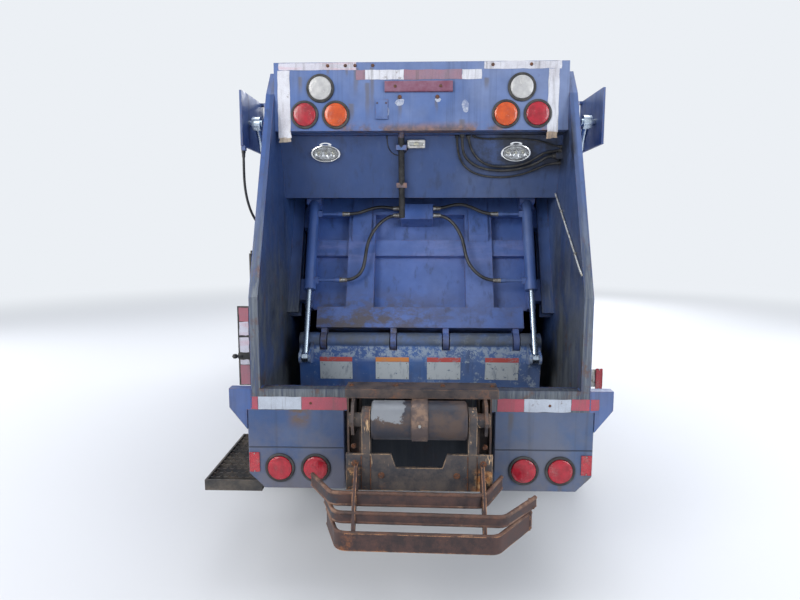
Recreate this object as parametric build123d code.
"""Mini rear-loading garbage truck on a low cab-forward chassis.

Millimetres. X points to the truck's right, Y to its front and Z up. The origin lies on the ground, under
the middle of the truck's length. Side outlines are (Y, Z) points, face outlines are (X, Z) points.
"""
from build123d import *
from math import atan2, cos, hypot, pi, radians, sin, sqrt, tan
import os

# Length of the truck and where its groups stand
FRONT_Y = 3065.0            # front face of the bumper
REAR_Y = -3065.0            # rearmost hoop of the cart lifter
SILL_Y = -2685.0            # rear face of the hopper's sill
TAILGATE_DEPTH = 1200.0     # sill face to the plane where the tailgate meets the body
BODY_FRONT_Y = 1125.0
FRONT_AXLE_Y = 1965.0
REAR_AXLE_Y = -1135.0

# Working gaps
SEAL = 6.0                  # tailgate to body
RUN = 5.0                   # between panels that pass each other
PIN_FIT = 0.5               # round a pin, on the radius
SEAT = 0.3                  # under a shoe that slides, or a piece set down

# Chassis
RAIL_IN = 375.0
RAIL_WIDTH = 55.0
RAIL_WEB = 8.0
RAIL_Z = 530.0
RAIL_HEIGHT = 200.0
RAIL_FRONT_Y = 2920.0
RAIL_REAR_Y = -1450.0

# Wheels
TYRE_R = 405.0
TYRE_WIDTH = 224.0
RIM_R = 250.0
RIM_WALL = 12.0
FRONT_WHEEL_X = 870.0
REAR_WHEEL_X = 825.0        # middle of a twin pair
TWIN_GAP = 30.0
KINGPIN_X = 700.0
KINGPIN_R = 24.0
SPINDLE_R = 40.0
FRONT_PAD_Z = 431.0         # spring seats on the axles
REAR_PAD_Z = 459.0
LEAF = 10.0

# Body
BODY_HALF = 840.0
BODY_SKIN = 8.0
BODY_FLOOR_Z = 900.0
BODY_ROOF_Z = 2400.0
POST_COUNT = 6
POST_DEPTH = 28.0
POST_WIDTH = 70.0

# Tailgate
WALL_OUT = 740.0
WALL = 40.0
SILL_TOP = 945.0
SILL_DEPTH = 55.0
SILL_HEIGHT = 95.0
WALL_KNEE_Z = 1350.0        # where the rear edge starts to lean forward
HIGH_EDGE_Y = 400.0         # from the sill face, at the light box
HIGH_EDGE_Z = BODY_ROOF_Z - 120
ROOF_START_Y = 500.0
FLANGE_OUT = BODY_HALF
WALL_RIB = 24.0
FLANGE_DEPTH = 60.0
FLANGE_BOTTOM = 850.0
HINGE_Z = BODY_ROOF_Z + 40
HINGE_X = 560.0
HINGE_PIN_R = 20.0
LUG_R = 32.0

# Packer: carriage, blade and their cylinders
BLADE_HINGE_Y = 520.0       # from the sill face
BLADE_HINGE_Z = 1060.0
BLADE_REACH = 455.0
TROUGH_R = 480.0
TROUGH_SHEET = 12.0
INCLINE = 24.0              # degrees, the carriage's slide from the vertical
CARRIAGE_FOOT_Y = 480.0     # foot of the carriage's rear face, from the sill face
CARRIAGE_FOOT_Z = 1080.0
CARRIAGE_HIGH = 800.0
CARRIAGE_HALF = 600.0
CARRIAGE_DEEP = 130.0
SWEEP_X = 575.0
SWEEP_TOP = (760.0, 1795.0)     # barrel pin, from the sill face
SWEEP_EYE = (400.0, 998.0)      # rod pin, from the sill face
SWEEP_BARREL_R = 32.0
SWEEP_ROD_R = 14.0

# Lift cylinders of the tailgate
LIFT_OUT = 44.0             # cylinder's middle, from the face of the body's posts
LIFT_BARREL_R = 32.0
LIFT_ROD_R = 18.0

# Cart lifter
LIFTER_Y = 150.0            # axis behind the sill face
LIFTER_Z = 860.0
DRUM_R = 80.0
DRUM_HALF = 195.0

# Tow eyes under the bumper
TOW_X = 390.0
TOW_EYE = (3002.0, 366.0)
TOW_R = 16.0

# Cab
CAB_HALF = 1000.0
CAB_WALL = 45.0
CAB_BACK_Y = 1300.0
CAB_NOSE_Y = 3000.0
CAB_FLOOR_Z = 980.0
CAB_STEP_Y = 2440.0         # behind this the floor rises over the wheel
CAB_FOOT_Z = 760.0
CAB_ROOF_Z = 2270.0
TILT_Y = 2950.0
TILT_Z = 735.0
TILT_R = 20.0
DOOR_GAP = 5.0
DOOR_FRONT_Y = 2860.0
HINGE_OUT = 12.0            # door hinges' axis, out from the cab's side
HINGE_R = 11.0
HINGE_HEIGHTS = (905.0, 1205.0)
PILLAR = 100.0              # cab side to the windscreen, and to the seats
GRILLE_Z = (860.0, 1090.0)
DRIVER_X = -(CAB_HALF - 520)   # middle of the steering wheel

# Places worked out from the sizes above
JOIN_Y = SILL_Y + TAILGATE_DEPTH
BODY_REAR_Y = JOIN_Y + SEAL
POST_FACE = BODY_HALF + POST_DEPTH
LIFT_X = POST_FACE + LIFT_OUT
LIFT_BASE = (JOIN_Y + 400, 1450.0)
LIFT_EYE = (JOIN_Y - 330, BODY_ROOF_Z - 180)
RAIL_OUT = RAIL_IN + RAIL_WIDTH
RAIL_TOP = RAIL_Z + RAIL_HEIGHT
WALL_IN = WALL_OUT - WALL
SILL_BOTTOM = SILL_TOP - SILL_HEIGHT
BLADE_C = (SILL_Y + BLADE_HINGE_Y, BLADE_HINGE_Z)
LIFTER_C = (SILL_Y - LIFTER_Y, LIFTER_Z)
SLOPE_Y, SLOPE_Z = sin(radians(INCLINE)), cos(radians(INCLINE))
BOX_Y = SILL_Y + HIGH_EDGE_Y            # rear face of the light box
BOX_FOOT_Z = BODY_ROOF_Z - 291.5
COVER_TOP_Z = BODY_ROOF_Z - 300


def side(points, x0, x1):
    """A side outline of (Y, Z) points, pulled from x0 to x1."""
    low, high = min(x0, x1), max(x0, x1)
    return extrude(Plane.YZ.offset(low) * make_face(Polyline(*points, close=True)), amount=high - low)


def face_on(points, y0, y1):
    """A face outline of (X, Z) points, pulled from y0 to y1."""
    low, high = min(y0, y1), max(y0, y1)
    return extrude(Plane.XZ.offset(-high) * make_face(Polyline(*points, close=True)), amount=high - low)


def plan(points, z0, z1):
    """A plan outline of (X, Y) points, pulled from z0 to z1."""
    return extrude(Plane.XY.offset(z0) * make_face(Polyline(*points, close=True)), amount=z1 - z0)


def block(x0, x1, y0, y1, z0, z1):
    """A box between two corners."""
    return Pos((x0 + x1) / 2, (y0 + y1) / 2, (z0 + z1) / 2) * Box(abs(x1 - x0), abs(y1 - y0), abs(z1 - z0))


def rod(start, end, radius):
    """A round bar between two points."""
    along = Vector(*end) - Vector(*start)
    place = Plane(origin=start, z_dir=along)
    return place * Cylinder(radius, along.length, align=(Align.CENTER, Align.CENTER, Align.MIN))


def cross(centre, radius, x0, x1):
    """A round bar across the truck, about a (Y, Z) centre."""
    low, high = min(x0, x1), max(x0, x1)
    return rod((low, *centre), (high, *centre), radius)


def mirrored(shape):
    """The same shape on the other side of the truck."""
    return mirror(shape, about=Plane.YZ)


def both(shape):
    """A shape and its mirror image."""
    return [shape, mirrored(shape)]


def joined(first, *more):
    """Shapes fused into one."""
    for shape in more:
        first = first + shape
    return first


def incline(along, deep):
    """A (Y, Z) point by its way up the carriage's slide and its depth behind the rear face."""
    return (SILL_Y + CARRIAGE_FOOT_Y + along * SLOPE_Y + deep * SLOPE_Z,
            CARRIAGE_FOOT_Z + along * SLOPE_Z - deep * SLOPE_Y)


def slab(along0, along1, deep0, deep1, x0, x1):
    """A bar square to the carriage's slide."""
    outline = [incline(along0, deep0), incline(along1, deep0), incline(along1, deep1), incline(along0, deep1)]
    return side(outline, x0, x1)


def save(node, *shapes):
    """Write one node's solids to its file."""
    solids = []
    for shape in shapes:
        items = shape if isinstance(shape, list) else [shape]
        for item in items:
            solids.extend(item.solids())
    export_step(solids[0] if len(solids) == 1 else Compound(solids), f"parts/{node}.step")


# Chassis frame
def frame_rails():
    """Two channel rails, their cross members, the cab's tilt ears and its rear rest."""
    channel = block(RAIL_IN, RAIL_OUT, RAIL_REAR_Y, RAIL_FRONT_Y, RAIL_Z, RAIL_TOP)
    hollow = block(RAIL_IN - 1, RAIL_OUT - RAIL_WEB, RAIL_REAR_Y - 1, RAIL_FRONT_Y + 1,
                   RAIL_Z + RAIL_WEB, RAIL_TOP - RAIL_WEB)
    rail = channel - hollow
    frame = joined(rail, mirrored(rail))
    for y in (RAIL_REAR_Y + 40, -650.0, 60.0, 760.0, RAIL_FRONT_Y - 60):
        inner = RAIL_OUT - RAIL_WEB
        frame = frame + (block(-inner, inner, y - 35, y + 35, RAIL_Z + 65, RAIL_TOP - 20)
                         - block(-inner, inner, y - 29, y + 36, RAIL_Z + 71, RAIL_TOP - 26))
    ear = joined(cross((TILT_Y, TILT_Z), TILT_R, RAIL_IN, RAIL_IN + 12),
                 block(RAIL_IN, RAIL_IN + 12, RAIL_FRONT_Y - 60, TILT_Y + TILT_R, RAIL_TOP - 80, TILT_Z))
    ear = ear - cross((TILT_Y, TILT_Z), 10 + PIN_FIT, RAIL_IN - 1, RAIL_IN + 13)
    for x in (0.0, RAIL_WIDTH - 12):
        frame = joined(frame, Pos(x, 0, 0) * ear, mirrored(Pos(x, 0, 0) * ear))
    rest_y = CAB_BACK_Y + 40
    for x in (-RAIL_OUT + 5, RAIL_IN + 10):
        frame = frame + block(x, x + 40, rest_y, rest_y + 60, RAIL_TOP, CAB_FLOOR_Z - 45)
    return frame + block(-560, 560, rest_y, rest_y + 60, CAB_FLOOR_Z - 45, CAB_FLOOR_Z - RUN)


def leaf_springs():
    """Four leaf packs with their eyes' hangers under the rails."""
    packs = []
    x0, x1 = RAIL_IN + 5, RAIL_OUT - 5
    top = RAIL_Z - 14
    for y, half, pad, leaves in ((FRONT_AXLE_Y, 560.0, FRONT_PAD_Z, 3), (REAR_AXLE_Y, 560.0, REAR_PAD_Z, 4)):
        seat = pad + 0.3 + LEAF * leaves
        pack = None
        for leaf in range(leaves):
            reach = half * (1 - 0.2 * leaf)
            high = seat + (top - seat) * (reach / half) ** 2
            arc = ThreePointArc((y - reach, high), (y, seat), (y + reach, high))
            under = ThreePointArc((y + reach, high - LEAF), (y, seat - LEAF), (y - reach, high - LEAF))
            outline = make_face([arc, Line(arc @ 1, under @ 0), under, Line(under @ 1, arc @ 0)])
            strip = extrude(Plane.YZ.offset(x0) * (Pos(0, -LEAF * leaf) * outline), amount=x1 - x0)
            pack = strip if pack is None else pack + strip
        for end in (-1, 1):
            pack = pack + block(x0, x1, y + end * half - 30, y + end * half + 30, top - 16, RAIL_Z)
        packs.extend(both(pack))
    return packs


def front_axle():
    """A dropped beam between the two kingpins, with its spring pads."""
    drop = 55.0
    beam = face_on([(-KINGPIN_X + 40, TYRE_R + 40), (-560, TYRE_R + 10), (-480, TYRE_R - drop),
                    (480, TYRE_R - drop), (560, TYRE_R + 10), (KINGPIN_X - 40, TYRE_R + 40),
                    (KINGPIN_X - 40, TYRE_R - 40), (570, TYRE_R - 60), (500, TYRE_R - drop - 80),
                    (-500, TYRE_R - drop - 80), (-570, TYRE_R - 60), (-KINGPIN_X + 40, TYRE_R - 40)],
                   FRONT_AXLE_Y - 40, FRONT_AXLE_Y + 40)
    for sign in (-1, 1):
        x = sign * KINGPIN_X
        beam = beam + rod((x, FRONT_AXLE_Y, TYRE_R - 60), (x, FRONT_AXLE_Y, TYRE_R + 60), 48)
        beam = beam - rod((x, FRONT_AXLE_Y, TYRE_R - 61), (x, FRONT_AXLE_Y, TYRE_R + 61), KINGPIN_R + PIN_FIT)
        near, far = sorted((sign * (RAIL_IN + 5), sign * (RAIL_OUT - 5)))
        beam = beam + block(near, far, FRONT_AXLE_Y - 60, FRONT_AXLE_Y + 60, TYRE_R - drop - 10, FRONT_PAD_Z)
    return beam


def knuckle():
    """A steering knuckle with its yoke, kingpin, spindle and steering arm, on the right side."""
    yoke = joined(block(KINGPIN_X - 45, KINGPIN_X + 80, FRONT_AXLE_Y - 40, FRONT_AXLE_Y + 40,
                        TYRE_R + 66, TYRE_R + 96),
                  block(KINGPIN_X - 45, KINGPIN_X + 80, FRONT_AXLE_Y - 40, FRONT_AXLE_Y + 40,
                        TYRE_R - 96, TYRE_R - 66),
                  block(KINGPIN_X + 55, KINGPIN_X + 80, FRONT_AXLE_Y - 40, FRONT_AXLE_Y + 40,
                        TYRE_R - 96, TYRE_R + 96))
    pin = rod((KINGPIN_X, FRONT_AXLE_Y, TYRE_R - 96), (KINGPIN_X, FRONT_AXLE_Y, TYRE_R + 96), KINGPIN_R)
    spindle = cross((FRONT_AXLE_Y, TYRE_R), SPINDLE_R, KINGPIN_X + 70, FRONT_WHEEL_X + 150)
    arm = block(KINGPIN_X - 30, KINGPIN_X + 30, FRONT_AXLE_Y - 190, FRONT_AXLE_Y - 30,
                TYRE_R - 96, TYRE_R - 72)
    return joined(yoke, pin, spindle, arm)


def tie_rod():
    """Track rod under the two steering arms, with its end joints."""
    y, z = FRONT_AXLE_Y - 160, TYRE_R - 118
    bar = rod((-KINGPIN_X + 10, y, z), (KINGPIN_X - 10, y, z), 14)
    for sign in (-1, 1):
        x = sign * KINGPIN_X
        bar = bar + rod((x, y, z - 20), (x, y, TYRE_R - 96 - SEAT), 22)
    return bar


def tyre(x, y, width):
    """A tyre as one closed ring, crowned tread and bulged walls."""
    half = width / 2
    outline = [(RIM_R, -half + 14), (RIM_R + 60, -half), (TYRE_R - 40, -half + 4), (TYRE_R - 6, -half + 30),
               (TYRE_R, 0), (TYRE_R - 6, half - 30), (TYRE_R - 40, half - 4), (RIM_R + 60, half),
               (RIM_R, half - 14)]
    ring = revolve(make_face(Polyline(*outline, close=True)), axis=Axis.Y)
    return Plane(origin=(x, y, TYRE_R), x_dir=(0, 0, 1), z_dir=(0, 1, 0)) * ring


def rim(x, y, out):
    """A steel rim whose dished disc reaches the mounting plane on the side that out gives."""
    half = TYRE_WIDTH / 2 - 14
    plane = (TYRE_WIDTH + TWIN_GAP) / 2
    barrel = cross((0, 0), RIM_R - 0.3, -half, half) - cross((0, 0), RIM_R - RIM_WALL, -half - 1, half + 1)
    dish = [(RIM_R - 6, 40), (158, plane), (60, plane), (60, plane - 12), (150, plane - 12), (RIM_R - 6, 24)]
    disc = revolve(make_face(Polyline(*dish, close=True)), axis=Axis.Y)
    disc = Plane(origin=(0, 0, 0), x_dir=(0, 0, 1), z_dir=(0, 1, 0)) * disc
    for turn in range(8):
        a = turn * pi / 4
        disc = disc - cross((190 * cos(a), 190 * sin(a)), 28, 0, plane + 1)
    wheel = barrel + disc
    if out < 0:
        wheel = mirrored(wheel)
    return Pos(x, y, TYRE_R) * wheel


def hub(x, y, out, near, far):
    """A wheel hub with its brake drum, bored for the spindle; near and far are measured from x outwards."""
    c = (y, TYRE_R)
    shape = cross(c, 85, x + out * near, x + out * far) + cross(c, 60, x + out * far, x + out * (far + 60))
    shape = shape + cross(c, 170, x + out * near, x + out * (near + 70))
    return shape - cross(c, SPINDLE_R + PIN_FIT, x + out * (near - 1), x + out * (far + 50))


def rear_axle():
    """The rear axle tube with its differential housing and the stubs that carry the twin wheels."""
    c = (REAR_AXLE_Y, TYRE_R)
    axle = cross(c, 50, -REAR_WHEEL_X + 160, REAR_WHEEL_X - 160)
    axle = axle + cross(c, SPINDLE_R, -REAR_WHEEL_X - 80, REAR_WHEEL_X + 80)
    axle = axle + Pos(0, *c) * Sphere(185)
    axle = axle + rod((0, REAR_AXLE_Y + 150, TYRE_R), (0, REAR_AXLE_Y + 300, TYRE_R), 62)
    for sign in (-1, 1):
        near, far = sorted((sign * (RAIL_IN + 5), sign * (RAIL_OUT - 5)))
        axle = axle + block(near, far, REAR_AXLE_Y - 60, REAR_AXLE_Y + 60, TYRE_R - 60, REAR_PAD_Z)
        chamber = rod((sign * 495, REAR_AXLE_Y - 70, TYRE_R), (sign * 495, REAR_AXLE_Y - 230, TYRE_R), 68)
        axle = joined(axle, chamber, block(sign * 495 - 30, sign * 495 + 30, REAR_AXLE_Y - 80, REAR_AXLE_Y, TYRE_R - 40,
                                           TYRE_R + 40))
    return axle


def engine():
    """Engine and gearbox as plain blocks between the rails."""
    block_top = CAB_FLOOR_Z - 60
    motor = block(-270, 270, 1500, 2380, RAIL_Z + 20, block_top)
    gearbox = block(-170, 170, 980, 1500, RAIL_Z - 10, RAIL_TOP + 20)
    radiator = block(-RAIL_IN + 10, RAIL_IN - 10, 2470, 2560, 430, CAB_FOOT_Z - 12)
    fan = block(-200, 200, 2380, 2470, 520, CAB_FOOT_Z - 40)
    mounts = block(-RAIL_IN - 20, RAIL_IN + 20, 1700, 1760, RAIL_Z + 8.3, RAIL_Z + 40)
    return joined(motor, gearbox, fan, radiator, mounts)


def drive_shaft():
    """The propeller shaft with its end flanges, from the gearbox to the rear axle."""
    rear, fore = (REAR_AXLE_Y + 300.3, TYRE_R), (979.7, RAIL_Z + 20)
    shaft = rod((0, rear[0] + 20, rear[1]), (0, fore[0] - 20, fore[1]), 38)
    shaft = shaft + rod((0, *rear), (0, rear[0] + 30, rear[1]), 55)
    return shaft + rod((0, fore[0] - 30, fore[1]), (0, *fore), 55)


def fuel_tank():
    """A rounded tank on the left rail, with its two straps' brackets."""
    tank = block(-RAIL_OUT - 340, -RAIL_OUT - 20, 80, 860, 400, 720)
    tank = fillet(tank.edges().filter_by(Axis.Y), 60)
    cap = rod((-RAIL_OUT - 220, 760, 715), (-RAIL_OUT - 220, 760, 760), 42)
    brackets = [block(-RAIL_OUT - 24, -RAIL_OUT, y, y + 40, 480, 700) for y in (200.0, 700.0)]
    return joined(tank, cap, *brackets)


def exhaust():
    """Silencer under the right rail with its pipes."""
    x = RAIL_OUT + 150
    body = rod((x, 150, 470), (x, 850, 470), 110)
    inlet = rod((x - 60, 850, 470), (x - 60, 1240, 470), 38)
    outlet = rod((x - 60, 150, 470), (x - 60, -330, 470), 38)
    hangers = [block(RAIL_OUT, x - 60, y, y + 30, 560, 640) + block(x - 75, x - 45, y, y + 30, 470, 640)
               for y in (300.0, 700.0)]
    return joined(body, inlet, outlet, *hangers)


def battery_box():
    """Battery and air tank cradle, right side behind the cab."""
    box = block(RAIL_OUT, RAIL_OUT + 300, 900, 1180, 600, 800)
    return chamfer(box.edges().filter_by(Axis.Y), 12)


def front_bumper():
    """Pressed bumper with its ends wrapped back as entry steps."""
    bar = block(-CAB_HALF, CAB_HALF, FRONT_Y - 100, FRONT_Y, 400, 700)
    bar = fillet(bar.edges().filter_by(Axis.Z).group_by(Axis.Y)[-1], 60)
    bar = bar - block(-CAB_HALF + 70, CAB_HALF - 70, FRONT_Y - 101, FRONT_Y - 30, 412, 701)
    for sign in (-1, 1):
        near, far = sorted((sign * 700, sign * CAB_HALF))
        step = block(near, far, 2485, FRONT_Y - 100, 400, 700)
        step = step - block(near + 30, far - 30, 2500, FRONT_Y - 101, 420, 701)
        step = step - block(*sorted((sign * 760, sign * (CAB_HALF + 1))), 2530, 2900, 450, 701)
        bar = bar + step
        arm = block(*sorted((sign * (RAIL_IN + 5), sign * (RAIL_OUT - 5))), RAIL_FRONT_Y,
                    FRONT_Y - 30, 540, RAIL_TOP - 90)
        bar = bar + arm
    eye = block(TOW_X, TOW_X + 20, 2960, 3040, 330, 412) - cross(TOW_EYE, TOW_R, TOW_X - 1, TOW_X + 21)
    bar = joined(bar, eye, mirrored(eye))
    recess = block(560, 860, FRONT_Y - 29, FRONT_Y + 1, 500, 640)
    return bar - recess - mirrored(recess)


def front_lamps():
    """Head lamps set in the bumper."""
    lamp = block(562, 858, FRONT_Y - 29, FRONT_Y - 4, 502, 638)
    return both(fillet(lamp.edges().filter_by(Axis.Y), 30))


def rear_fenders():
    """Rolled guards over the twin wheels, each on two stays to the rail."""
    gap, sheet = 52.0, 5.0
    half = TYRE_WIDTH + TWIN_GAP / 2 + 12
    x0, x1 = REAR_WHEEL_X - half, REAR_WHEEL_X + half
    c = (REAR_AXLE_Y, TYRE_R)
    guard = cross(c, TYRE_R + gap + sheet, x0, x1) - cross(c, TYRE_R + gap, x0 - 1, x1 + 1)
    guard = guard - block(x0 - 1, x1 + 1, REAR_AXLE_Y - 700, REAR_AXLE_Y + 700, -200, TYRE_R + 130)
    for y in (REAR_AXLE_Y - 330.0, REAR_AXLE_Y + 330.0):
        z = TYRE_R + sqrt((TYRE_R + gap) ** 2 - 330.0 ** 2) - 14
        guard = guard + rod((RAIL_OUT, y, z), (x0 + 60, y, z), 16)
    return both(guard)


# Body
def body_shell():
    """Load box open at the rear, with its posts, rails, sub-frame, hinge lugs and cylinder brackets."""
    skin = block(-BODY_HALF, BODY_HALF, BODY_REAR_Y, BODY_FRONT_Y, BODY_FLOOR_Z - 20, BODY_ROOF_Z)
    room = block(-BODY_HALF + BODY_SKIN, BODY_HALF - BODY_SKIN, BODY_REAR_Y - 1, BODY_FRONT_Y - BODY_SKIN,
                 BODY_FLOOR_Z, BODY_ROOF_Z - BODY_SKIN)
    shell = skin - room
    pitch = (BODY_FRONT_Y - BODY_REAR_Y - POST_WIDTH) / (POST_COUNT - 1)
    for sign in (-1, 1):
        x0, x1 = sorted((sign * BODY_HALF, sign * POST_FACE))
        for post in range(POST_COUNT):
            y = BODY_REAR_Y + post * pitch
            shell = shell + block(x0, x1, y, y + POST_WIDTH, BODY_FLOOR_Z - 20, BODY_ROOF_Z)
        for z in (BODY_FLOOR_Z - 20, BODY_ROOF_Z - 80):
            shell = shell + block(x0, x1, BODY_REAR_Y, BODY_FRONT_Y, z, z + 80)
        shell = shell + block(*sorted((sign * (RAIL_IN + 4), sign * (RAIL_OUT - 4))), BODY_REAR_Y,
                              BODY_FRONT_Y, RAIL_TOP, BODY_FLOOR_Z - 20)
        for x in (HINGE_X - 60, HINGE_X + 30):
            near, far = sorted((sign * x, sign * (x + 30)))
            lug = joined(cross((JOIN_Y, HINGE_Z), LUG_R, near, far),
                         side([(JOIN_Y, HINGE_Z + LUG_R), (BODY_REAR_Y + 130, BODY_ROOF_Z),
                               (BODY_REAR_Y, BODY_ROOF_Z), (JOIN_Y, HINGE_Z - LUG_R)], near, far))
            shell = shell + (lug - cross((JOIN_Y, HINGE_Z), HINGE_PIN_R + PIN_FIT, near - 1, far + 1))
        near, far = sorted((sign * POST_FACE, sign * (LIFT_X + 50)))
        y, z = LIFT_BASE
        plate = block(near, far, y - 60, y + 60, z - 120, z - 60)
        plate = plate + block(*sorted((sign * BODY_HALF, sign * POST_FACE)), y - 100, y + 100, z - 160, z + 60)
        pin = cross(LIFT_BASE, 20, near, far)
        cheek = joined(cross(LIFT_BASE, 45, *sorted((sign * (LIFT_X + 38), sign * (LIFT_X + 50)))),
                       block(*sorted((sign * (LIFT_X + 38), sign * (LIFT_X + 50))), y - 45, y + 45,
                             z - 120, z))
        shell = joined(shell, plate, pin, cheek)
    return shell


def ejector_panel():
    """Pusher plate inside the body, upright below and leaning forward above, with its floor shoes."""
    half = BODY_HALF - BODY_SKIN - 7
    y0 = BODY_FRONT_Y - 345
    low, high, top = BODY_FLOOR_Z + 8, 1600.0, BODY_ROOF_Z - BODY_SKIN - 10
    sheet = 12.0
    panel = side([(y0, low), (y0, high), (y0 + 240, top), (y0 + 240 + sheet, top),
                  (y0 + sheet, high), (y0 + sheet, low)], -half, half)
    for x in (-half, -half / 3 - 20, half / 3 - 20, half - 40):
        panel = panel + side([(y0 + sheet, low), (y0 + 270, low), (y0 + 270, low + 60), (y0 + sheet, high)],
                             x, x + 40)
    panel = panel + block(-half, half, y0 + 10, y0 + 270, low, low + 20)
    for x in (-600.0, 540.0):
        panel = panel + block(x, x + 60, y0 + 30, y0 + 260, BODY_FLOOR_Z + SEAT, low)
    return panel


# Lift cylinders
def lift_line(way):
    """A (Y, Z) point on the lift cylinder's line, by its distance from the base pin."""
    dy, dz = LIFT_EYE[0] - LIFT_BASE[0], LIFT_EYE[1] - LIFT_BASE[1]
    length = hypot(dy, dz)
    return (LIFT_BASE[0] + dy / length * way, LIFT_BASE[1] + dz / length * way)


LIFT_LENGTH = hypot(LIFT_EYE[0] - LIFT_BASE[0], LIFT_EYE[1] - LIFT_BASE[1])
LIFT_BARREL_END = 680.0
LIFT_GLAND = 30.0
LIFT_STROKE = 383.0         # with the tailgate right up


def lift_barrels():
    """Barrel with its base eye and gland, one each side."""
    start, end = lift_line(25), lift_line(LIFT_BARREL_END)
    barrel = rod((LIFT_X, *start), (LIFT_X, *end), LIFT_BARREL_R)
    eye = cross(LIFT_BASE, 42, LIFT_X - 26, LIFT_X + 26)
    bore = rod((LIFT_X, *lift_line(70)), (LIFT_X, *lift_line(LIFT_BARREL_END - LIFT_GLAND)), LIFT_BARREL_R - 7)
    gland = rod((LIFT_X, *lift_line(LIFT_BARREL_END - 40)), (LIFT_X, *lift_line(LIFT_BARREL_END + 1)),
                LIFT_ROD_R + PIN_FIT)
    shape = joined(barrel, eye, *[port_block(way) for way in LIFT_PORTS])
    shape = shape - cross(LIFT_BASE, 20 + PIN_FIT, LIFT_X - 27, LIFT_X + 27) - bore - gland
    return both(shape)


def lift_rods():
    """Rod with its piston, its eye and the pin that the ear plate holds."""
    top = LIFT_BARREL_END - LIFT_GLAND - LIFT_STROKE - 8
    stem = rod((LIFT_X, *lift_line(top - 20)), (LIFT_X, *lift_line(LIFT_LENGTH - 20)), LIFT_ROD_R)
    piston = rod((LIFT_X, *lift_line(top - 40)), (LIFT_X, *lift_line(top)), LIFT_BARREL_R - 7 - PIN_FIT)
    eye = cross(LIFT_EYE, 38, LIFT_X - 22, LIFT_X + 22)
    pin = cross(LIFT_EYE, 18, LIFT_X - 30, EAR_X - 0.5)
    return both(joined(stem, piston, eye, pin))


# Tailgate
EAR_X = LIFT_X + 43.0
EAR_SHEET = 12.0
EAR_FOOT_Z = BODY_ROOF_Z - 315
EAR_REAR_Y = JOIN_Y - 470


def trough_sheet():
    """The curved floor of the hopper, swept by the blade, and the flat that leads on to the body."""
    cy, cz = BLADE_C
    rear = atan2(SILL_TOP - 5 - cz, -sqrt(TROUGH_R ** 2 - (SILL_TOP - 5 - cz) ** 2))
    fore = atan2(BODY_FLOOR_Z - cz, sqrt(TROUGH_R ** 2 - (BODY_FLOOR_Z - cz) ** 2))

    def at(angle, radius):
        return (cy + radius * cos(angle), cz + radius * sin(angle))

    out = TROUGH_R + TROUGH_SHEET
    inner = ThreePointArc(at(rear, TROUGH_R), at(-pi / 2, TROUGH_R), at(fore, TROUGH_R))
    outer = ThreePointArc(at(fore, out), at(-pi / 2, out), at(rear, out))
    outline = make_face([inner, Line(inner @ 1, outer @ 0), outer, Line(outer @ 1, inner @ 0)])
    sheet = extrude(Plane.YZ.offset(-WALL_IN) * outline, amount=2 * WALL_IN)
    start = at(fore, TROUGH_R)[0]
    return sheet + block(-WALL_IN, WALL_IN, start, JOIN_Y, BODY_FLOOR_Z - TROUGH_SHEET, BODY_FLOOR_Z)


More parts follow.
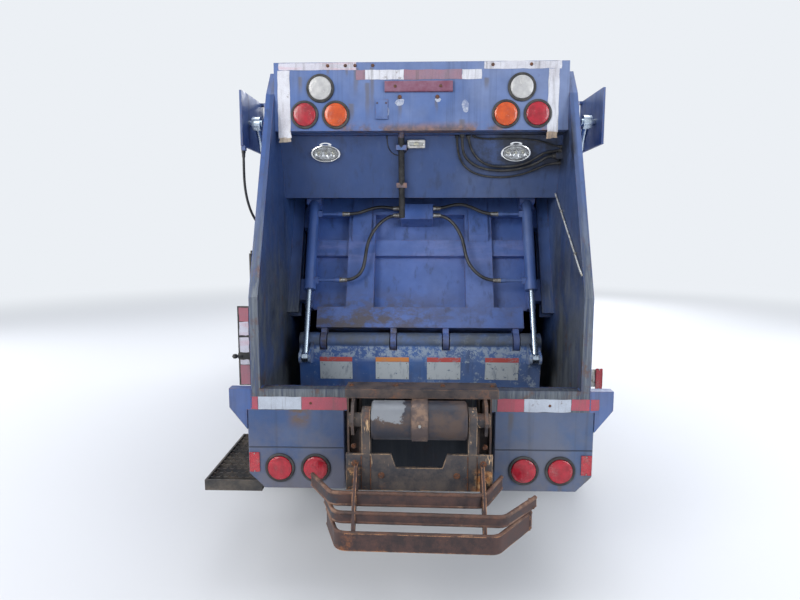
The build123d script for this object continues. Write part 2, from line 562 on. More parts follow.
def tailgate_shell():
    """Side walls, hopper trough, sill, roof, rear cover, carriage tracks, flange, ears and hinge lugs."""
    y = SILL_Y
    wall_line = [(y, SILL_BOTTOM), (y, WALL_KNEE_Z), (y + HIGH_EDGE_Y, HIGH_EDGE_Z), (y + ROOF_START_Y, BODY_ROOF_Z),
                 (JOIN_Y, BODY_ROOF_Z), (JOIN_Y, FLANGE_BOTTOM), (y + 1000, 720), (y + 760, 530),
                 (y + 640, 500), (y + 330, 500), (y + 160, 560), (y + 60, 700), (y + 60, SILL_BOTTOM)]
    wall = side(wall_line, WALL_IN, WALL_OUT)
    shell = joined(wall, mirrored(wall), trough_sheet())
    shell = shell + block(-WALL_IN, WALL_IN, y, y + SILL_DEPTH, SILL_BOTTOM, SILL_TOP)
    shell = shell + block(-WALL_IN, WALL_IN, y + ROOF_START_Y, JOIN_Y, BODY_ROOF_Z - 8, BODY_ROOF_Z)
    fold = COVER_TOP_Z
    cover = side([(y + HIGH_EDGE_Y + 70, COVER_TOP_Z), (cover_y(fold), fold), (cover_y(1800), 1800),
                  (cover_y(1800) + 12, 1800), (y + ROOF_START_Y + 12, COVER_TOP_Z),
                  (y + ROOF_START_Y + 12, BODY_ROOF_Z - 8), (y + ROOF_START_Y, BODY_ROOF_Z - 8),
                  (y + ROOF_START_Y, COVER_TOP_Z + 8), (y + HIGH_EDGE_Y + 70, COVER_TOP_Z + 8)], -WALL_IN, WALL_IN)
    high, low = BOX_FOOT_Z + 30, fold - 30
    hole = rod((CONDUIT_X, cover_y(high) - 24, high), (CONDUIT_X, cover_y(low) - 24, low), CONDUIT_R + 2)
    shell = shell + (cover - hole) + block(-330, 330, y + 40, y + 46, 500, SILL_BOTTOM + 1)
    for sign in (-1, 1):
        near, far = sorted((sign * WALL_OUT, sign * FLANGE_OUT))
        shell = shell + block(near, far, JOIN_Y - FLANGE_DEPTH, JOIN_Y, FLANGE_BOTTOM, BODY_ROOF_Z)
        wing = face_on([(sign * WALL_OUT, SILL_TOP), (sign * FLANGE_OUT, SILL_TOP),
                        (sign * FLANGE_OUT, SILL_BOTTOM + 10), (sign * (WALL_OUT + 22), SILL_BOTTOM - 90),
                        (sign * (WALL_OUT + 22), SILL_BOTTOM), (sign * WALL_OUT, SILL_BOTTOM)], y, y + 50)
        shell = shell + wing
        for deep in (30.0, 105.0):
            near, far = sorted((sign * (WALL_IN - 60), sign * WALL_IN))
            shell = shell + slab(150, 1300, deep, deep + 15, near, far)
        for start in (440.0, TAILGATE_DEPTH - 340):
            near, far = sorted((sign * WALL_OUT, sign * (WALL_OUT + WALL_RIB)))
            top = HIGH_EDGE_Z - 30
            rib = side([(y + start, 640), (y + start + 80, 640), (y + start + 80, top), (y + start, top)],
                       near, far)
            shell = shell + chamfer(rib.edges().filter_by(Axis.Z).group_by(Axis.X)[-1 if sign > 0 else 0], 15)
        near, far = sorted((sign * EAR_X, sign * (EAR_X + EAR_SHEET)))
        ear = side([(JOIN_Y - 12, BODY_ROOF_Z - 15), (JOIN_Y - 12, EAR_FOOT_Z), (EAR_REAR_Y, EAR_FOOT_Z),
                    (EAR_REAR_Y, BODY_ROOF_Z - 25)], near, far)
        arm = block(*sorted((sign * FLANGE_OUT, sign * EAR_X)), JOIN_Y - 58, JOIN_Y - 12, BODY_ROOF_Z - 30,
                    BODY_ROOF_Z - 15)
        shell = joined(shell, ear, arm)
        near, far = sorted((sign * (HINGE_X - 24), sign * (HINGE_X + 24)))
        lug = joined(cross((JOIN_Y, HINGE_Z), LUG_R, near, far),
                     side([(JOIN_Y, HINGE_Z + LUG_R), (JOIN_Y, HINGE_Z - LUG_R), (JOIN_Y - 4, BODY_ROOF_Z),
                           (JOIN_Y - 130, BODY_ROOF_Z)], near, far))
        pin = cross((JOIN_Y, HINGE_Z), HINGE_PIN_R, *sorted((sign * (HINGE_X - 62), sign * (HINGE_X + 62))))
        shell = joined(shell, lug, pin)
    x, z = CABLE_GLAND
    middle = cover_y(z) - CABLE_OFF
    shell = shell + block(x, WALL_IN, middle - 15, middle + 15, z - 15, z + 15)
    (x, y, z), (end_x, end_y, end_z) = SIDE_HOSE[0], SIDE_HOSE[-1]
    shell = shell + block(-EAR_X - EAR_SHEET, -EAR_X + 10, y - 14, y + 14, z, EAR_FOOT_Z)
    return shell + block(end_x, -WALL_OUT - WALL_RIB, end_y - 15, end_y + 15, end_z - 15, end_z + 15)


def light_bar():
    """Sheet metal box for the upper lamps, its lower edge stepping in to the rear cover."""
    y, top = BOX_Y, BODY_ROOF_Z + 25
    bar = side([(y, BOX_FOOT_Z), (y, top), (y + 40, top + 5), (y + 95, BODY_ROOF_Z), (y + 95, BOX_FOOT_Z)],
               -WALL_IN + SEAT, WALL_IN - SEAT)
    strip = block(-170, 152, y - 14, y, top - 139, top - 89)
    strip = fillet(strip.edges().filter_by(Axis.X).group_by(Axis.Y)[0], 6)
    plate = block(-214, -156, y - 5, y, top - 260, top - 173)
    plate = plate + cross((y - 5, top - 260), 5, -214, -156)
    low, high = CONDUIT_FOOT_Z, BOX_FOOT_Z + 6.5
    conduit = rod((CONDUIT_X, cover_y(high) - 24, high), (CONDUIT_X, cover_y(low) - 24, low), CONDUIT_R)
    clamps = [block(CONDUIT_X - 26, CONDUIT_X + 26, cover_y(z) - 40, cover_y(z) - 4, z - 12, z + 12)
              for z in (high - 75, high - 255)]
    clamps = [clamp - side([(cover_y(low) - SEAT, low), (cover_y(high) - SEAT, high), (cover_y(high) + 90, high),
                            (cover_y(low) + 90, low)], CONDUIT_X - 30, CONDUIT_X + 30) for clamp in clamps]
    return joined(bar, strip, plate, conduit, *clamps)


CONDUIT_X = -94.0
CONDUIT_R = 14.0
CONDUIT_FOOT_Z = BOX_FOOT_Z - 408.5
LAMP_R = 54.0
GROMMET_R = 67.0


def round_lamp(x, y, z):
    """A four inch round lamp in its rubber ring, facing the rear."""
    ring = rod((x, y, z), (x, y - 9, z), GROMMET_R)
    ring = fillet(ring.edges().group_by(Axis.Y)[0], 4)
    lens = rod((x, y - 9, z), (x, y - 16, z), LAMP_R)
    lens = fillet(lens.edges().group_by(Axis.Y)[0], 5)
    return ring + lens


# X and height above the light box's foot, and X and height of the lower ones
UPPER_LAMPS = {"clear_lamps": [(478.0, 197.5)], "red_lamps": [(555.0, 75.5)], "amber_lamps": [(405.0, 74.5)]}
LOWER_LAMPS = {"clear_lamps": [], "red_lamps": [(460.0, 585.0), (620.0, 585.0)], "amber_lamps": []}


def cover_y(z):
    """Rear face of the slanting cover under the light box, at a height."""
    return SILL_Y + ROOF_START_Y + (COVER_TOP_Z - z) / 3


WORK_LAMP = (475.0, COVER_TOP_Z - 82)
WORK_LAMP_SIZE = (152.0, 86.0)


def work_lamp():
    """Oval work lamp on the cover, its axis square to it."""
    x, z = WORK_LAMP
    place = Plane(origin=(x, cover_y(z), z), x_dir=(1, 0, 0), z_dir=(0, -3, -1))
    rim = extrude(place * Ellipse(WORK_LAMP_SIZE[0] / 2, WORK_LAMP_SIZE[1] / 2), amount=16)
    return rim + extrude(place * Ellipse(WORK_LAMP_SIZE[0] / 2 - 9, WORK_LAMP_SIZE[1] / 2 - 9), amount=22)


def lamp_set(name):
    """The lamps of one colour, upper and lower, both sides; the clear ones with the work lamps."""
    lamps = []
    for x, z in UPPER_LAMPS[name]:
        lamps.extend(both(round_lamp(x, BOX_Y, BOX_FOOT_Z + z)))
    for x, z in LOWER_LAMPS[name]:
        lamps.extend(both(round_lamp(x, SILL_Y, z)))
    if name == "clear_lamps":
        lamps.extend(both(work_lamp()))
        z = COVER_TOP_Z - 37
        place = Plane(origin=(-20, cover_y(z), z), x_dir=(1, 0, 0), z_dir=(0, -3, -1))
        lamps.append(extrude(place * RectangleRounded(88, 40, 8), amount=24))
    return lamps


def lamp_boxes():
    """Folded boxes under the sill, the outer lower corners cut off."""
    out = WALL_OUT + 20
    box = face_on([(330, 490), (out - 70, 490), (out, 560), (out, SILL_BOTTOM), (330, SILL_BOTTOM)],
                  SILL_Y, SILL_Y + 60)
    box = chamfer(box.edges().filter_by(Axis.Z).group_by(Axis.Y)[0], 4)
    return both(box)


def riding_step():
    """Step on the left: a channel frame, serrated cross bars and two hangers on the side wall."""
    step = block(-1040, -760, -2485, -1835, 380, 432) - block(-1030, -770, -2475, -1845, 379, 433)
    pitch, teeth = 50.0, 7
    for bar in range(12):
        y = -2440 + bar * pitch
        step = step + block(-1032, -768, y, y + 6, 396, 428)
        for tooth in range(teeth):
            x = -1018 + tooth * 36
            step = step + face_on([(x, 428), (x + 20, 428), (x + 10, 438)], y, y + 6)
    for y in (-2400.0, -2050.0):
        step = step + block(-762, -WALL_OUT, y, y + 60, 400, 720)
    return step


def grab_rails():
    """Reflective post and lever box on the left side wall."""
    post = block(-860, -800, -2461, -2449, 900, 1280)
    arm = block(-800, -WALL_OUT, -2461, -2431, 1060, 1100)
    levers = block(-800, -WALL_OUT, -2420, -2350, 1360, 1540)
    handle = joined(rod((-790, -2450, 1380), (-790, -2420, 1380), 8), rod((-790, -2450, 1520), (-790, -2420, 1520), 8),
                    rod((-790, -2450, 1372), (-790, -2450, 1528), 8))
    return [joined(post, arm), joined(levers, handle)]


# Cart lifter
def lifter_frame():
    """Two channels under a lipped top plate, with plates inside them that hold the drum's shaft."""
    y = SILL_Y
    frame = block(-310, 330, y - 120, y, 968, 980) + block(-310, 330, y - 120, y - 110, 942, 970)
    for sign in (-1, 1):
        near, far = sorted((sign * 250, sign * 310))
        channel = block(near, far, y - 60, y, 560, 968) - block(near + 8, far - 8, y - 61, y - 8, 572, 967)
        plate = side([(y - 7, 780), (y - 7, 960), (y - 60, 960), (LIFTER_C[0] - 20, 930), (LIFTER_C[0] - 45, 860),
                      (LIFTER_C[0] - 20, 800), (y - 60, 780)], *sorted((sign * 268, sign * 280)))
        frame = frame + channel + (plate - cross(LIFTER_C, 30 + PIN_FIT, *sorted((sign * 240, sign * 300))))
    return frame


def lifter_drum():
    """Helical rotary actuator with its centre ring and its feet on the frame."""
    drum = cross(LIFTER_C, DRUM_R, -DRUM_HALF, DRUM_HALF)
    drum = chamfer(drum.edges().filter_by(GeomType.CIRCLE), 7)
    drum = drum + cross(LIFTER_C, DRUM_R + 6, -30, 34)
    return drum + block(-150, 150, LIFTER_C[0] + 40, SILL_Y, LIFTER_Z - 50, LIFTER_Z + 50)


def lifter_arms():
    """Output shaft ends, two arms and the latch plate that takes the cart's bar."""
    shape = None
    for sign in (-1, 1):
        near, far = sorted((sign * 200.5, sign * 235))
        arm = joined(cross(LIFTER_C, 55, near, far),
                     side([(LIFTER_C[0] - 55, LIFTER_Z), (LIFTER_C[0] + 50, LIFTER_Z), (LIFTER_C[0] + 10, 600),
                           (LIFTER_C[0] - 34, 600)], near, far),
                     cross(LIFTER_C, 30, *sorted((sign * 200.5, sign * 290))))
        shape = arm if shape is None else shape + arm
    plate = face_on([(-300, 574), (300, 574), (300, 730), (115, 730), (95, 672), (-95, 672), (-115, 730),
                     (-300, 730)], LIFTER_C[0] - 46, LIFTER_C[0] - 34)
    return shape + plate


def bent_bar(points, z0, z1):
    """A flat bar on edge, bent in plan through (X, Y) points, its outer face on them."""
    thick, bend = 12.0, 55.0
    outer = FilletPolyline(*points, radius=bend)
    inner = FilletPolyline(*[(x * 0.982, y + thick * 1.05) for x, y in points], radius=bend - thick)
    outline = make_face([outer, Line(outer @ 1, inner @ 1), inner, Line(inner @ 0, outer @ 0)])
    return extrude(Plane.XY.offset(z0) * outline, amount=z1 - z0)


# Ends and bends of the hoops, as (X, Y)
HOOP_TOP = [(-460, -2800), (-352, -2975), (262, -2985), (352, -2805)]
HOOP_MIDDLE = [(-398, -2845), (-338, -3010), (335, -3030), (488, -2850)]
HOOP_LOW = [(-388, -2850), (-322, -3052), (305, REAR_Y), (470, -2855)]


def lifter_hoops():
    """Three bent flat bars, one above the other, on two hangers from the latch plate."""
    plate_y = LIFTER_C[0] - 46
    top, middle, low = bent_bar(HOOP_TOP, 553, 606), bent_bar(HOOP_MIDDLE, 498, 540), bent_bar(HOOP_LOW, 404, 476)
    tie = side([(-2872, 404), (-2858, 404), (-2858, 540), (-2872, 540)], 452, 462)
    tie = tie + block(450, 476, -2872, -2858, 498, 508)
    hangers = None
    for x in (-264.0, 250.0):
        hanger = side([(plate_y, 574), (plate_y, 690), (plate_y - 30, 690), (-2990, 600), (-3052, 440), (-3052, 410),
                       (-3034, 410), (plate_y - 60, 556)], x, x + 14)
        hangers = hanger if hangers is None else hangers + hanger
    return joined(top, middle, low, tie, hangers)


# Packer
def carriage_panel():
    """Ribbed carriage with hinge lugs below, shoes at the sides and the barrels' brackets above."""
    panel = slab(170, CARRIAGE_HIGH, 60, 72, -CARRIAGE_HALF, CARRIAGE_HALF)
    panel = panel + slab(60, 170, 0, CARRIAGE_DEEP, -535, 535)
    panel = panel + slab(CARRIAGE_HIGH - 100, CARRIAGE_HIGH, 10, CARRIAGE_DEEP, -CARRIAGE_HALF - 20,
                         CARRIAGE_HALF + 20)
    panel = panel + slab(465, 555, 24, 72, -CARRIAGE_HALF, CARRIAGE_HALF)
    for x0, x1 in ((242.0, 386.0), (562.0, 600.0)):
        for sign in (-1, 1):
            near, far = sorted((sign * x0, sign * x1))
            panel = panel + slab(168, CARRIAGE_HIGH - 99, 8, 72, near, far)
    for sign in (-1, 1):
        for low in (220.0, 640.0):
            near, far = sorted((sign * 590, sign * (WALL_IN - 10)))
            panel = panel + slab(low, low + 120, 45 + SEAT, 105 - SEAT, near, far)
        for x in (120.0, 480.0):
            near, far = sorted((sign * x, sign * (x + 30)))
            strap = joined(cross(BLADE_C, 50, near, far), slab(0, 100, 10, 90, near, far))
            panel = panel + (strap - cross(BLADE_C, 25 + PIN_FIT, near - 1, far + 1))
        for x in (SWEEP_X - 40, SWEEP_X + 28):
            top = (SILL_Y + SWEEP_TOP[0], SWEEP_TOP[1])
            near, far = sorted((sign * x, sign * (x + 12)))
            cheek = joined(cross(top, 30, near, far), slab(CARRIAGE_HIGH - 90, CARRIAGE_HIGH, -30, 30, near, far))
            panel = panel + cheek
        near, far = sorted((sign * 262, sign * 366))
        panel = panel + side([incline(CARRIAGE_HIGH - 100, 10), incline(CARRIAGE_HIGH, 10),
                              incline(CARRIAGE_HIGH, 4), incline(CARRIAGE_HIGH - 230, -14),
                              incline(CARRIAGE_HIGH - 260, 8)], near, far)
    manifold = slab(648, 738, MANIFOLD_DEEP, 60, *MANIFOLD_X)
    return panel + chamfer(manifold.edges(), 3)


def sweep_blade():
    """Curved blade on its hinge shaft, notched for the lugs, with the rods' ears."""
    cy, cz = BLADE_C
    profile = [(cy - 40, cz + 20), (cy - 42, cz - 100), (cy - 20, cz - 300), (cy + 60, cz - 450),
               (cy + 75, cz - 442), (cy + 60, cz - 300), (cy + 60, cz - 100), (cy + 40, cz + 20)]
    blade = side(profile, -620, 620) + cross(BLADE_C, 45, -620, 620)
    for sign in (-1, 1):
        for x in (120.0, 480.0):
            near, far = sorted((sign * (x - 5), sign * (x + 35)))
            blade = blade - cross(BLADE_C, 56, near, far)
        near, far = sorted((sign * (SWEEP_X - 17), sign * (SWEEP_X + 17)))
        eye = (SILL_Y + SWEEP_EYE[0], SWEEP_EYE[1])
        blade = blade - cross(eye, 62, near, far)
        for x in (SWEEP_X - 30, SWEEP_X + 17):
            near, far = sorted((sign * x, sign * (x + 13)))
            ear = joined(cross(eye, 30, near, far),
                         side([(eye[0], eye[1] + 30), (cy, cz + 20), (cy, cz - 110), (eye[0], eye[1] - 30)],
                              near, far))
            blade = blade + ear
    return blade + cross(BLADE_C, 25, -615, 615)


def sweep_line(way):
    """A (Y, Z) point on the sweep cylinder's line, by its distance from the barrel's pin."""
    dy, dz = SWEEP_EYE[0] - SWEEP_TOP[0], SWEEP_EYE[1] - SWEEP_TOP[1]
    length = hypot(dy, dz)
    return (SILL_Y + SWEEP_TOP[0] + dy / length * way, SWEEP_TOP[1] + dz / length * way)


SWEEP_LENGTH = hypot(SWEEP_EYE[0] - SWEEP_TOP[0], SWEEP_EYE[1] - SWEEP_TOP[1])
SWEEP_BARREL_END = 515.0
PORTS = (84.0, 462.0)        # from the barrel's pin
PIPE_END = 420.0
PIPE_R = 9.0


def sweep_barrels():
    """Sweep cylinder barrels, pinned between the carriage's brackets."""
    top = sweep_line(0)
    barrel = rod((SWEEP_X, *sweep_line(15)), (SWEEP_X, *sweep_line(SWEEP_BARREL_END)), SWEEP_BARREL_R - 4)
    gland = rod((SWEEP_X, *sweep_line(SWEEP_BARREL_END - 50)), (SWEEP_X, *sweep_line(SWEEP_BARREL_END)),
                SWEEP_BARREL_R)
    eye = cross(top, 28, SWEEP_X - 28, SWEEP_X + 28)
    bore = rod((SWEEP_X, *sweep_line(60)), (SWEEP_X, *sweep_line(SWEEP_BARREL_END - 30)), SWEEP_BARREL_R - 10)
    neck = rod((SWEEP_X, *sweep_line(SWEEP_BARREL_END - 40)), (SWEEP_X, *sweep_line(SWEEP_BARREL_END + 1)),
               SWEEP_ROD_R + PIN_FIT)
    shape = joined(barrel, gland, eye) - bore - neck
    for way in PORTS:
        y, z = sweep_line(way)
        shape = shape + block(SWEEP_X - 46, SWEEP_X - SWEEP_BARREL_R + 8, y - 16, y + 16, z - 16, z + 16)
        shape = shape + rod((SWEEP_X - 46, y, z), (PIPE_END, y, z), PIPE_R)
        shape = shape + rod((PIPE_END + 26, y, z), (PIPE_END, y, z), PIPE_R + 4)
    return both(shape - bore)


def sweep_rods():
    """Sweep cylinder rods with their pistons and eyes."""
    stem = rod((SWEEP_X, *sweep_line(SWEEP_BARREL_END - 90)), (SWEEP_X, *sweep_line(SWEEP_LENGTH - 15)),
               SWEEP_ROD_R)
    piston = rod((SWEEP_X, *sweep_line(SWEEP_BARREL_END - 110)), (SWEEP_X, *sweep_line(SWEEP_BARREL_END - 75)),
                 SWEEP_BARREL_R - 10 - PIN_FIT)
    eye = cross(sweep_line(SWEEP_LENGTH), 25, SWEEP_X - 14, SWEEP_X + 14)
    pin = cross(sweep_line(SWEEP_LENGTH), 13, SWEEP_X - 16.5, SWEEP_X + 16.5)
    return both(joined(stem, piston, eye, pin))


# Hoses
HOSE_R = 9.0
CABLE_R = 7.0
MANIFOLD_X = (-105.0, 70.0)
MANIFOLD_DEEP = -52.0

# Side, barrel port, the points between as (X, way up the slide and depth from the port), height at the manifold
CARRIAGE_HOSES = {
    "hose_upper_left": (-1, 0, [(376, 0, 0), (330, 6, -2), (284, 22, -5), (238, 37, -5), (192, 42, -1)], 718),
    "hose_lower_left": (-1, 1, [(383, 0, 0), (344, 9, 0), (313, 34, -3), (295, 72, -5), (288, 120, -7), (283, 172, -7),
                                (272, 224, -6), (251, 272, -4), (223, 316, 0), (187, 351, 4)], 676),
    "hose_upper_right": (1, 0, [(372, 0, 0), (322, 14, -4), (276, 38, -6), (226, 56, -6), (172, 52, -1)], 718),
    "hose_lower_right": (1, 1, [(380, 0, 0), (334, 12, 0), (292, 42, -3), (260, 84, -6), (242, 132, -7), (234, 182, -7),
                                (224, 232, -6), (205, 279, -4), (180, 322, 0), (148, 354, 4)], 676),
}
MANIFOLD_PORT_DEEP = -32.0
HOSE_LAST = {"left": 43.0, "right": 40.0}    # last run, square to the manifold


def tube(route, radius, name):
    """A hose's plain tube, each corner of its route an arc as large as its two runs allow."""
    points = [Vector(*point) for point in route]
    radii = []
    for before, corner, after in zip(points, points[1:], points[2:]):
        turn = radians((corner - before).get_angle(after - corner))
        shorter = min((corner - before).length, (after - corner).length)
        radii.append(0.45 * shorter / tan(turn / 2))
    path = FilletPolyline(*points, radius=radii)
    shape = sweep(Plane(origin=points[0], z_dir=points[1] - points[0]) * Circle(radius), path=path)
    share = shape.volume / (pi * radius ** 2 * path.length)
    print(f"{name}: {path.length:.0f} mm long, tightest arc {min(radii):.0f} mm, volume share {share:.4f}")
    return shape


def carriage_hose(name):
    """A hydraulic hose from a barrel's pipe to the manifold."""
    side_sign, port, middle, high = CARRIAGE_HOSES[name]
    start = sweep_line(PORTS[port])
    route = [(side_sign * PIPE_END, *start)]
    for x, along, deep in middle:
        route.append((side_sign * x, start[0] + along * SLOPE_Y + deep * SLOPE_Z,
                      start[1] + along * SLOPE_Z - deep * SLOPE_Y))
    end_x, last = (MANIFOLD_X[0], -HOSE_LAST["left"]) if side_sign < 0 else (MANIFOLD_X[1], HOSE_LAST["right"])
    end = incline(high, MANIFOLD_PORT_DEEP)
    return tube(route + [(end_x + last, *end), (end_x, *end)], HOSE_R, name)


# From its clip under the left ear plate to its fitting on the side wall's rib
SIDE_HOSE = [(-(EAR_X + 3), EAR_REAR_Y + 20, EAR_FOOT_Z - 25), (-(EAR_X + 5), EAR_REAR_Y + 18, 1960),
             (-(EAR_X + 4), EAR_REAR_Y + 28, 1850), (-945, EAR_REAR_Y + 52, 1752), (-920, EAR_REAR_Y + 89, 1680),
             (-888, EAR_REAR_Y + 130, 1632), (-848, EAR_REAR_Y + 159, 1608), (-(WALL_OUT + 77), EAR_REAR_Y + 170, 1600),
             (-(WALL_OUT + WALL_RIB + 24), EAR_REAR_Y + 170, 1600)]
PORT_BLOCK = 30.0
LIFT_PORTS = (155.0, 625.0)


def port_block(way):
    """Port on the outer side of a lift barrel, centred at a way along it."""
    dy, dz = LIFT_EYE[0] - LIFT_BASE[0], LIFT_EYE[1] - LIFT_BASE[1]
    place = Plane(origin=(LIFT_X + LIFT_BARREL_R + 8, *lift_line(way)), x_dir=(1, 0, 0), z_dir=(0, dy, dz))
    return place * Box(PORT_BLOCK, PORT_BLOCK, PORT_BLOCK)


def side_hose():
    """Hose down the tailgate's left side."""
    return tube(SIDE_HOSE, CABLE_R, "side_hose")


# (X, Z) points; the cable lies on the slanting cover, below the work lamp
LAMP_CABLE = [(216, COVER_TOP_Z - 96), (262, COVER_TOP_Z - 140), (326, COVER_TOP_Z - 162), (400, COVER_TOP_Z - 170),
              (474, COVER_TOP_Z - 166), (544, COVER_TOP_Z - 150), (600, COVER_TOP_Z - 124)]
CABLE_OFF = CABLE_R + 9.0       # its middle, from the cover
CABLE_GLAND = (WALL_IN - 30, COVER_TOP_Z - 100)


def lamp_cable():
    """Wiring bundle from the light box, under the right work lamp, to its gland on the side wall."""
    top = cover_y(COVER_TOP_Z) - CABLE_OFF
    x, z = CABLE_GLAND
    end = cover_y(z) - CABLE_OFF
    route = [(205, top, COVER_TOP_Z), (205, top, COVER_TOP_Z - 36)]
    route += [(px, cover_y(pz) - CABLE_OFF, pz) for px, pz in LAMP_CABLE]
    return tube(route + [(x - 34, end, z), (x, end, z)], CABLE_R, "lamp_cable")


# Cab
CAB_PROFILE = [(CAB_BACK_Y, CAB_FLOOR_Z), (CAB_STEP_Y, CAB_FLOOR_Z), (CAB_STEP_Y, CAB_FOOT_Z),
               (CAB_NOSE_Y, CAB_FOOT_Z), (CAB_NOSE_Y, 1340), (2740, 2180), (2640, CAB_ROOF_Z),
               (CAB_BACK_Y + 60, CAB_ROOF_Z), (CAB_BACK_Y, CAB_ROOF_Z - 60)]
DOOR_LINE = [(DOOR_FRONT_Y, CAB_FOOT_Z + 40), (CAB_STEP_Y - 60, CAB_FOOT_Z + 40), (CAB_STEP_Y - 60, CAB_FLOOR_Z + 50),
             (1620, CAB_FLOOR_Z + 50), (1620, CAB_ROOF_Z - 150), (2620, CAB_ROOF_Z - 150), (DOOR_FRONT_Y, 1400)]
DOOR_WINDOW = [(1700, 1480), (1700, CAB_ROOF_Z - 220), (2560, CAB_ROOF_Z - 220), (2740, 1480)]


def shrunk(points, gap):
    """An outline drawn in by a gap all round."""
    return offset(make_face(Polyline(*points, close=True)), amount=-gap, kind=Kind.INTERSECTION)


def cab_hull():
    """The whole cab with its inside hollowed, before doors and windows are cut."""
    outer = side(CAB_PROFILE, -CAB_HALF, CAB_HALF)
    outer = fillet(outer.edges().filter_by(Axis.Z).group_by(Axis.Y)[-1], 80)
    brow = [edge for edge in outer.edges().filter_by(Axis.Y) if edge.center().Z > CAB_ROOF_Z - 1]
    outer = fillet(brow, 60)
    inner = extrude(Plane.YZ.offset(-CAB_HALF + CAB_WALL) * shrunk(CAB_PROFILE, CAB_WALL),
                    amount=2 * (CAB_HALF - CAB_WALL))
    return outer - inner


def nose(way, deep):
    """A (Y, Z) point on the windscreen's plane, by its way up from the nose and its depth inwards."""
    dy, dz = 2740 - CAB_NOSE_Y, 2180 - 1340
    length = hypot(dy, dz)
    return (CAB_NOSE_Y + dy / length * way - dz / length * deep, 1340 + dz / length * way + dy / length * deep)


def screen(x, low, high, deep0, deep1):
    """A slab in the windscreen's plane."""
    outline = [nose(low, deep0), nose(high, deep0), nose(high, deep1), nose(low, deep1)]
    return side(outline, -x, x)


def cab_shell():
    """Cab body with its door openings, windscreen and rear window cut, and its tilt knuckles."""
    shell = cab_hull()
    cut = side(DOOR_LINE, CAB_HALF - CAB_WALL - 60, CAB_HALF + 1)
    shell = shell - cut - mirrored(cut)
    shell = shell - screen(CAB_HALF - PILLAR, 60, 820, -20, CAB_WALL + 30)
    shell = shell - block(-CAB_HALF + 300, CAB_HALF - 300, CAB_BACK_Y - 1, CAB_BACK_Y + CAB_WALL + 1, 1560, 2060)
    shell = shell - block(-(CAB_HALF - 440), CAB_HALF - 440, CAB_NOSE_Y - 24, CAB_NOSE_Y + 1, *GRILLE_Z)
    for sign in (-1, 1):
        near, far = sorted((sign * (RAIL_IN + 16), sign * (RAIL_OUT - 16)))
        knuckle_plate = joined(cross((TILT_Y, TILT_Z), TILT_R, near, far),
                               block(near, far, TILT_Y - TILT_R, TILT_Y + TILT_R, TILT_Z, CAB_FOOT_Z + 5))
        pin = cross((TILT_Y, TILT_Z), 10, *sorted((sign * RAIL_IN, sign * RAIL_OUT)))
        shell = joined(shell, knuckle_plate, pin)
        x = sign * (CAB_HALF + HINGE_OUT)
        for z in HINGE_HEIGHTS:
            for low in (z - 42.0, z + 22.0):
                shell = shell + rod((x, DOOR_FRONT_Y, low), (x, DOOR_FRONT_Y, low + 20), HINGE_R)
                shell = shell + block(*sorted((sign * (CAB_HALF - 2), sign * (CAB_HALF + HINGE_OUT))), DOOR_FRONT_Y + 4,
                                      DOOR_FRONT_Y + HINGE_R, low, low + 20)
                shell = shell + block(*sorted((sign * (CAB_HALF - 2), sign * (CAB_HALF + 5))), DOOR_FRONT_Y + 4,
                                      DOOR_FRONT_Y + 50, low, low + 20)
            shell = shell + rod((x, DOOR_FRONT_Y, z - 42), (x, DOOR_FRONT_Y, z + 42), HINGE_R - 5)
    return shell


def grille():
    """Black grille in the nose: a rim and its level bars, proud of the panel."""
    frame_outer = block(-(CAB_HALF - 440) + 1, (CAB_HALF - 440) - 1, CAB_NOSE_Y - 23.7, CAB_NOSE_Y + 8, GRILLE_Z[0] + 1,
                        GRILLE_Z[1] - 1)
    shape = frame_outer - block(-(CAB_HALF - 440) + 19, (CAB_HALF - 440) - 19, CAB_NOSE_Y - 12, CAB_NOSE_Y + 9,
                                GRILLE_Z[0] + 19, GRILLE_Z[1] - 19)
    room = GRILLE_Z[1] - GRILLE_Z[0] - 38
    bars = 5
    for bar in range(1, bars + 1):
        z = GRILLE_Z[0] + 19 + room * bar / (bars + 1)
        shape = shape + side([(CAB_NOSE_Y - 12, z + 6), (CAB_NOSE_Y + 4, z - 4), (CAB_NOSE_Y + 4, z - 12),
                              (CAB_NOSE_Y - 12, z - 2)], -(CAB_HALF - 440) + 18, (CAB_HALF - 440) - 18)
    return shape


def cab_glass():
    """Windscreen and rear window."""
    half = CAB_HALF - 300.5
    rear = block(-half, half, CAB_BACK_Y + 18, CAB_BACK_Y + 24, 1560.5, 2059.5)
    return [screen(CAB_HALF - PILLAR - 0.5, 60.5, 819.5, 12, 18), rear]


def door(sign):
    """A door cut from the cab's side, with its window opening."""
    near, far = sorted((sign * (CAB_HALF - CAB_WALL), sign * CAB_HALF))
    panel = extrude(Plane.YZ.offset(near) * shrunk(DOOR_LINE, DOOR_GAP), amount=far - near)
    handle = block(*sorted((sign * CAB_HALF, sign * (CAB_HALF + 25))), 1690, 1830, 1330, 1360)
    panel = panel - side(DOOR_WINDOW, near - 1, far + 1) + handle
    x = sign * (CAB_HALF + HINGE_OUT)
    for z in HINGE_HEIGHTS:
        leaf = joined(rod((x, DOOR_FRONT_Y, z - 21), (x, DOOR_FRONT_Y, z + 21), HINGE_R),
                      block(*sorted((sign * (CAB_HALF - 2), sign * (CAB_HALF + 5))), DOOR_FRONT_Y - 50,
                            DOOR_FRONT_Y - 6, z - 21, z + 21),
                      block(*sorted((sign * (CAB_HALF + 1), sign * (CAB_HALF + HINGE_OUT))), DOOR_FRONT_Y - HINGE_R,
                            DOOR_FRONT_Y - 6, z - 21, z + 21))
        panel = panel + (leaf - rod((x, DOOR_FRONT_Y, z - 22), (x, DOOR_FRONT_Y, z + 22), HINGE_R - 5 + PIN_FIT))
    return panel


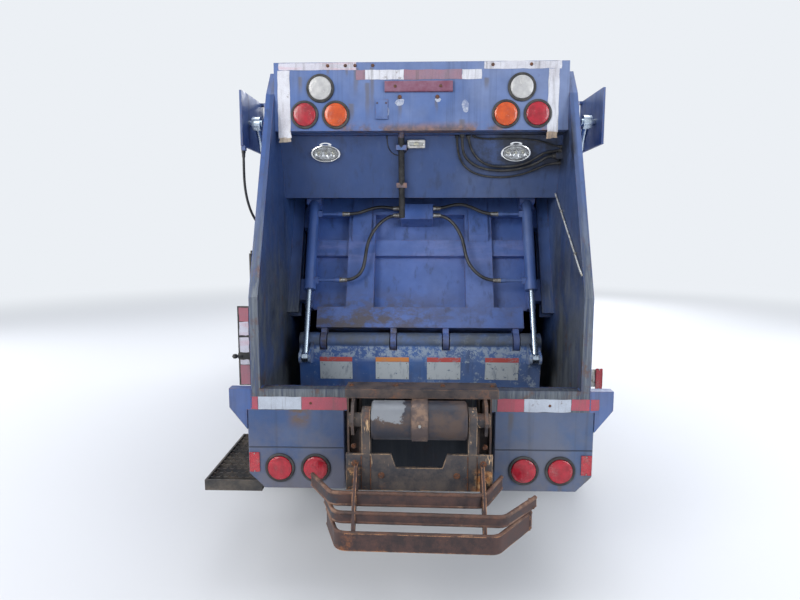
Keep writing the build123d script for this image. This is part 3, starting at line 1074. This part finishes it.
def door_glass(sign):
    """Door window pane."""
    near, far = sorted((sign * (CAB_HALF - 26), sign * (CAB_HALF - 20)))
    return extrude(Plane.YZ.offset(near) * shrunk(DOOR_WINDOW, 0.4), amount=far - near)


def dashboard():
    """Dashboard across the cab with the steering column."""
    half = CAB_HALF - CAB_WALL - 0.5
    board = side([(2560, 1260), (2600, 1400), (2700, 1450), (2860, 1430), (2940, 1330), (2940, 1150), (2640, 1150)],
                 -half, half)
    foot = block(-150, 150, 2700, 2940, CAB_FOOT_Z + CAB_WALL, 1150)
    column = rod((DRIVER_X, 2620, 1280), (DRIVER_X, 2370, 1400), 32)
    return joined(board, foot, column)


def steering_wheel():
    """Rim, three spokes and hub, square to the column."""
    lean = Vector(0, -250, 120)
    place = Plane(origin=(DRIVER_X, 2370, 1400), x_dir=(1, 0, 0), z_dir=lean)
    wheel = Pos(0, 0, 30) * Torus(205, 14)
    hub = Pos(0, 0, 15 + SEAT) * Cylinder(45, 30)
    for turn in (90, 210, 330):
        wheel = wheel + Rot(0, 0, turn) * (Pos(105, 0, 22) * Box(200, 30, 10))
    return place * (wheel + hub)


def seats():
    """Driver's seat and the wide seat beside it, each on its box."""
    floor = CAB_FLOOR_Z + CAB_WALL
    items = []
    out = CAB_HALF - PILLAR
    for x0, x1 in ((-out, -380.0), (-340.0, out)):
        items.append(block(x0 + 20, x1 - 20, 1520, 2140, floor, floor + 90))
        cushion = block(x0, x1, 1651, 2170, floor + 90 + SEAT, floor + 210)
        items.append(fillet(cushion.edges().group_by(Axis.Z)[-1], 40))
        back = side([(1520, floor + 90 + SEAT), (1650, floor + 90 + SEAT), (1642, floor + 240), (1530, floor + 830),
                     (1430, floor + 830)], x0, x1)
        items.append(fillet(back.edges().filter_by(Axis.X), 30))
    return items


def mirrors():
    """Mirror arms on their pads and heads at the cab's front corners."""
    x = CAB_HALF
    low, high = (2880, 1330), (2775, 1860)
    pads = [block(x, x + 14, y - 18, y + 18, z - 30, z + 30) for y, z in (low, high)]
    stay_x, stay_y = x + 130, 2900
    arm = joined(rod((x + 14, *low), (stay_x, stay_y, 1400), 14), rod((stay_x, stay_y, 1392), (stay_x, stay_y, 1958), 12),
                 rod((stay_x, stay_y, 1950), (x + 14, *high), 12))
    head = block(x + 40, x + 220, stay_y - 30, stay_y + 30, 1480, 1860)
    head = fillet(head.edges().filter_by(Axis.Y), 25)
    return both(joined(arm, head, *pads))


os.makedirs("parts", exist_ok=True)
save("frame_rails", frame_rails())
save("leaf_springs", leaf_springs())
save("front_axle", front_axle())
save("rear_axle", rear_axle())
save("engine", engine())
save("drive_shaft", drive_shaft())
save("fuel_tank", fuel_tank())
save("exhaust", exhaust())
save("battery_box", battery_box())
save("front_bumper", front_bumper())
save("front_lamps", front_lamps())
save("rear_fenders", rear_fenders())
right_knuckle = knuckle()
save("knuckle_right", right_knuckle)
save("knuckle_left", mirrored(right_knuckle))
for hand, sign in (("left", -1), ("right", 1)):
    save(f"front_tyre_{hand}", tyre(sign * FRONT_WHEEL_X, FRONT_AXLE_Y, TYRE_WIDTH))
    front = rim(sign * FRONT_WHEEL_X, FRONT_AXLE_Y, sign)
    save(f"front_rim_{hand}", front + hub(sign * FRONT_WHEEL_X, FRONT_AXLE_Y, sign, -70, 115.5))
    twin = (TYRE_WIDTH + TWIN_GAP) / 2
    outer_x, inner_x = sign * (REAR_WHEEL_X + twin), sign * (REAR_WHEEL_X - twin)
    save(f"rear_tyres_{hand}", tyre(outer_x, REAR_AXLE_Y, TYRE_WIDTH), tyre(inner_x, REAR_AXLE_Y, TYRE_WIDTH))
    rear = rim(outer_x, REAR_AXLE_Y, -sign) + rim(inner_x, REAR_AXLE_Y, sign)
    save(f"rear_rims_{hand}", rear + hub(sign * REAR_WHEEL_X, REAR_AXLE_Y, sign, -140, 40))
save("tie_rod", tie_rod())
save("body_shell", body_shell())
save("ejector_panel", ejector_panel())
save("lift_barrels", lift_barrels())
save("lift_rods", lift_rods())
save("tailgate_shell", tailgate_shell())
save("light_bar", light_bar())
for lamp_name in UPPER_LAMPS:
    save(lamp_name, lamp_set(lamp_name))
save("lamp_boxes", lamp_boxes())
save("riding_step", riding_step())
save("grab_rails", grab_rails())
save("lifter_frame", lifter_frame())
save("lifter_drum", lifter_drum())
save("lifter_arms", lifter_arms())
save("lifter_hoops", lifter_hoops())
save("carriage_panel", carriage_panel())
save("sweep_blade", sweep_blade())
save("sweep_barrels", sweep_barrels())
save("sweep_rods", sweep_rods())
for hose_name in CARRIAGE_HOSES:
    save(hose_name, carriage_hose(hose_name))
save("side_hose", side_hose())
save("lamp_cable", lamp_cable())
save("cab_shell", cab_shell())
save("grille", grille())
save("cab_glass", cab_glass())
for hand, sign in (("left", -1), ("right", 1)):
    save(f"door_{hand}", door(sign))
    save(f"door_glass_{hand}", door_glass(sign))
save("dashboard", dashboard())
save("steering_wheel", steering_wheel())
save("seats", seats())
save("mirrors", mirrors())
